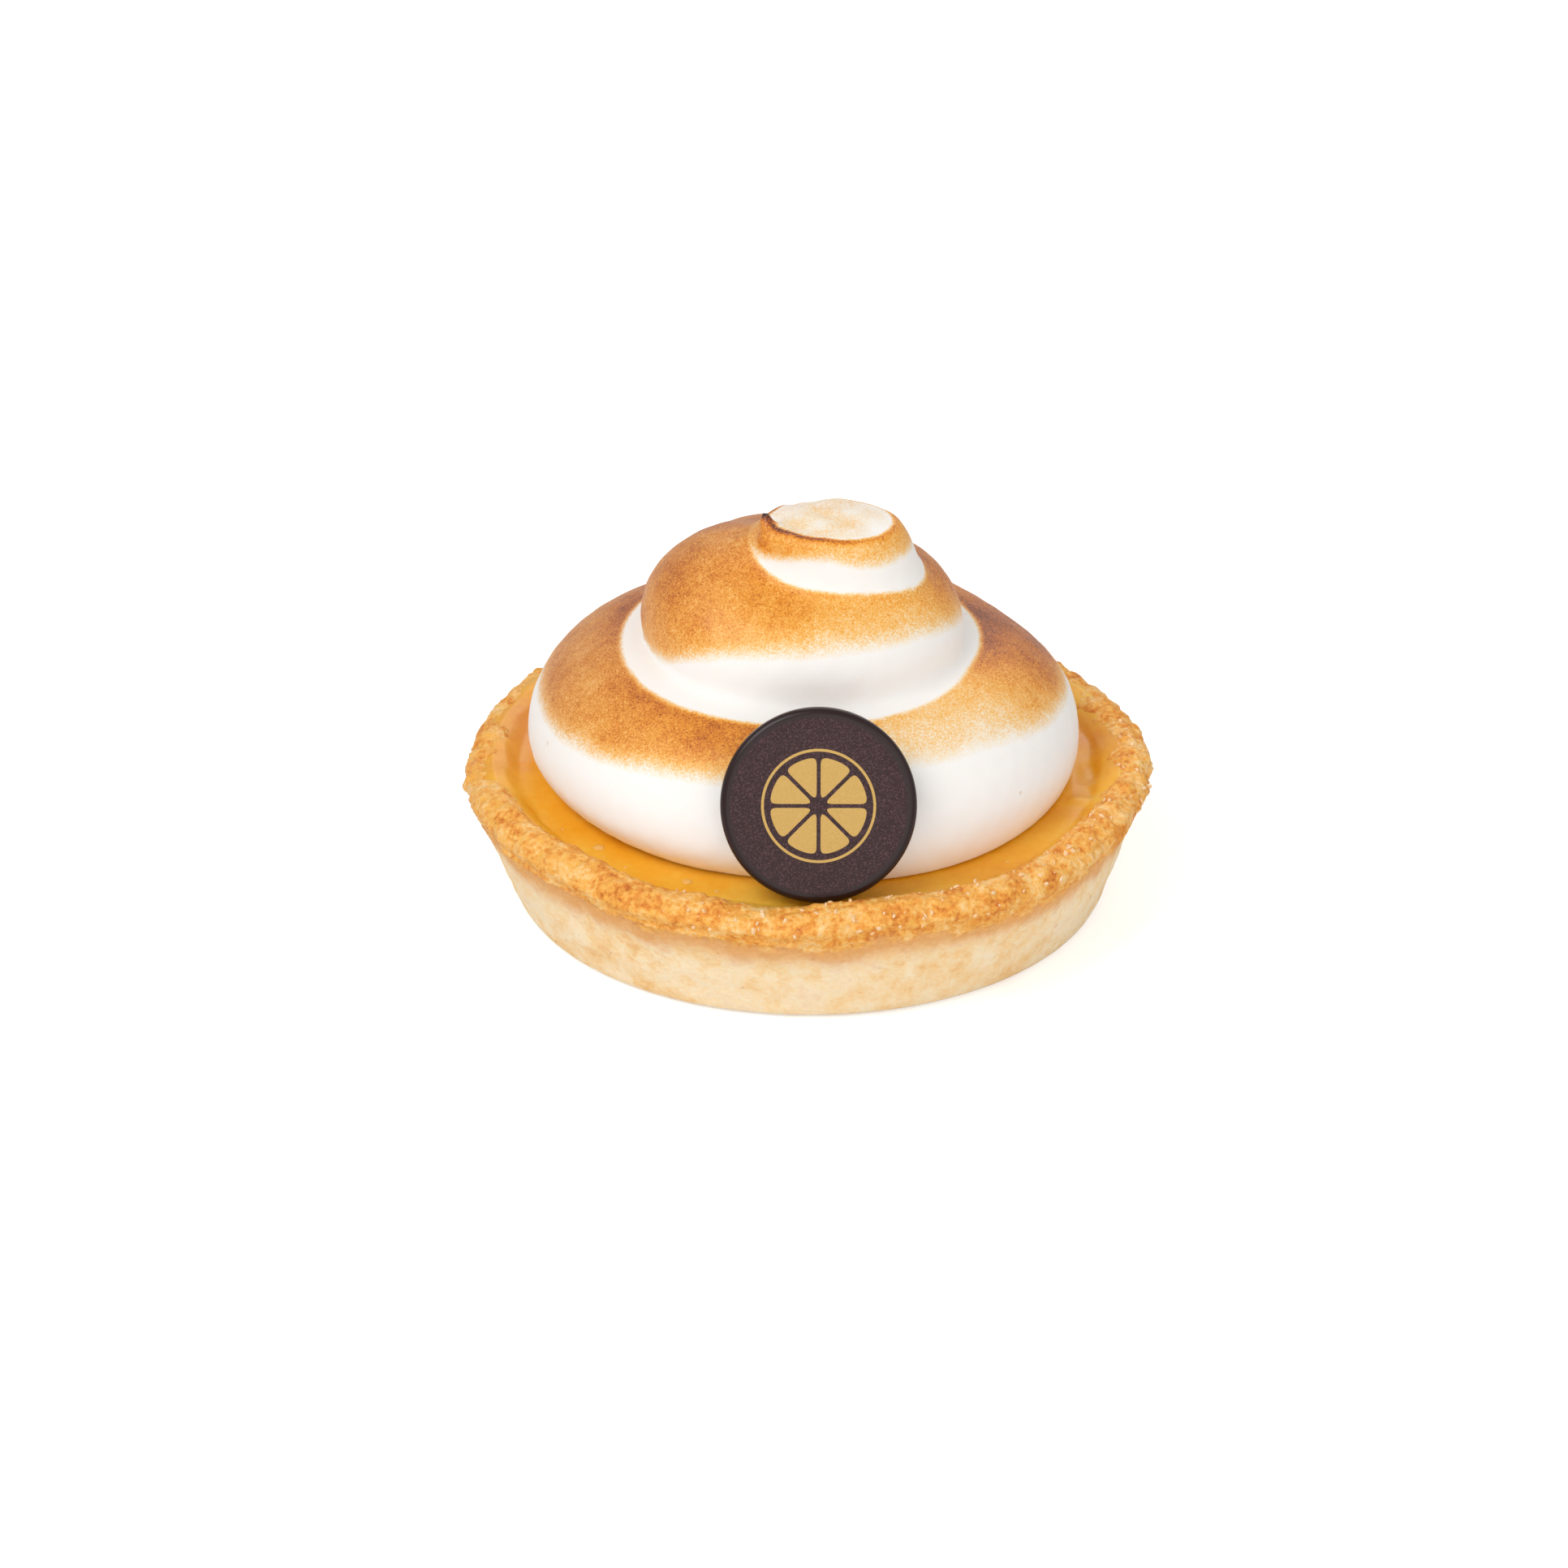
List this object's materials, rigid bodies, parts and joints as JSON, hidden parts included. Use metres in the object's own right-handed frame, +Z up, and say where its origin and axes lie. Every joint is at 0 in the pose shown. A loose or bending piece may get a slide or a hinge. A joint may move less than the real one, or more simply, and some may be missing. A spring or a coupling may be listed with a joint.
{
  "type": "lemon meringue pie",
  "caption": "Individual lemon meringue pie: shortcrust case filled with lemon curd, topped with a torched swirl of piped meringue and a dark chocolate disc.",
  "frame": {"origin": "middle of the flat underside, on the surface that the pie stands on", "axes": "+Z up, -Y towards the front with the chocolate disc, +X to the right as seen from the front"},
  "size_m": [0.0906, 0.0906, 0.0543],
  "materials": {
    "pastry": "baked shortcrust",
    "curd": "glossy set curd",
    "meringue": "soft torched meringue",
    "chocolate": "satin chocolate"
  },
  "bodies": {
    "root": {"pastry_case": "pastry", "lemon_curd": "curd", "meringue": "meringue", "chocolate_disc": "chocolate"}
  },
  "joints": []
}
